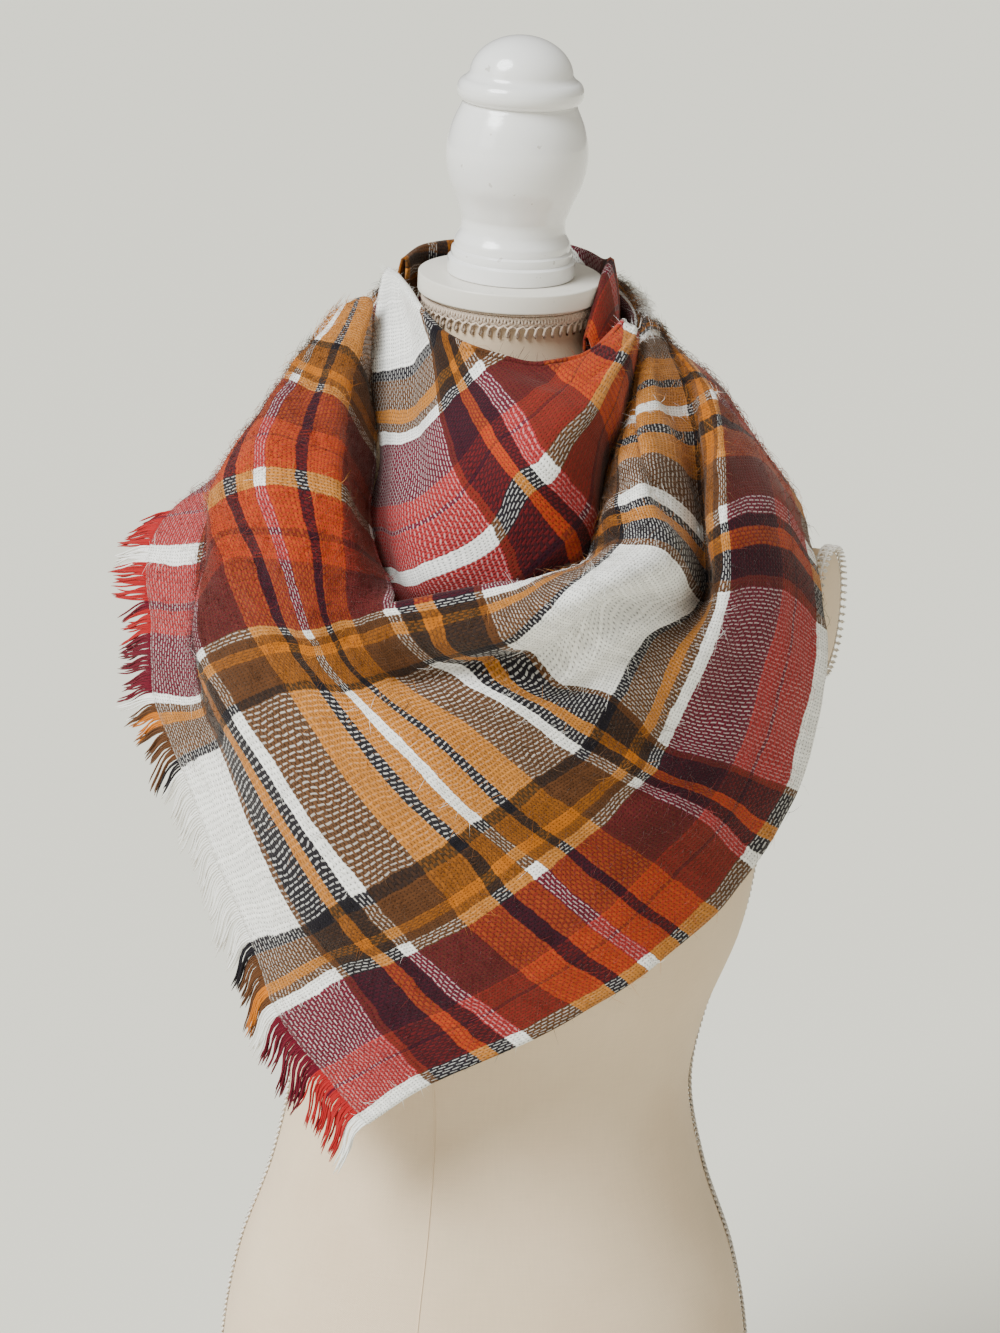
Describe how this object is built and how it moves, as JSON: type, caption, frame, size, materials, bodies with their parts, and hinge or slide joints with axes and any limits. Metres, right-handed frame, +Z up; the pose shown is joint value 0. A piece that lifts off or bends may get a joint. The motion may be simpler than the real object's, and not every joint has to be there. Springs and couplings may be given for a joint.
{
  "type": "blanket scarf on a limbless dress form",
  "caption": "Large plaid blanket scarf with a fringed end, worn wrapped round the neck and across the chest of a limbless dress form on a round stand.",
  "frame": {"origin": "middle of the round base's underside, on the floor", "axes": "+Z up along the stand, -Y the way the form faces, +X towards the form's left shoulder"},
  "size_m": [0.423, 0.3411, 1.1277],
  "materials": {
    "plaid_wool": "brushed woven plaid, matt with a soft nap",
    "fringe_yarn": "loose yarn ends, matt",
    "form_linen": "fine plain linen, matt",
    "gimp_braid": "looped cotton braid, slight sheen",
    "neck_cap_paint": "satin off-white paint",
    "gloss_white_wood": "gloss white paint"
  },
  "bodies": {
    "root": {"front_drape": "plaid_wool", "near_shoulder": "plaid_wool", "far_shoulder": "plaid_wool", "back_drape": "plaid_wool", "inner_cowl": "plaid_wool", "nape_wrap": "plaid_wool", "fringe": "fringe_yarn", "torso": "form_linen", "arm_cap_left": "form_linen", "arm_cap_right": "form_linen", "neck_cap": "neck_cap_paint", "finial": "gloss_white_wood", "column": "gloss_white_wood", "base": "gloss_white_wood", "arm_braid_left": "gimp_braid", "arm_braid_right": "gimp_braid", "side_braid_left": "gimp_braid", "side_braid_right": "gimp_braid", "neck_braid": "gimp_braid"}
  },
  "joints": []
}
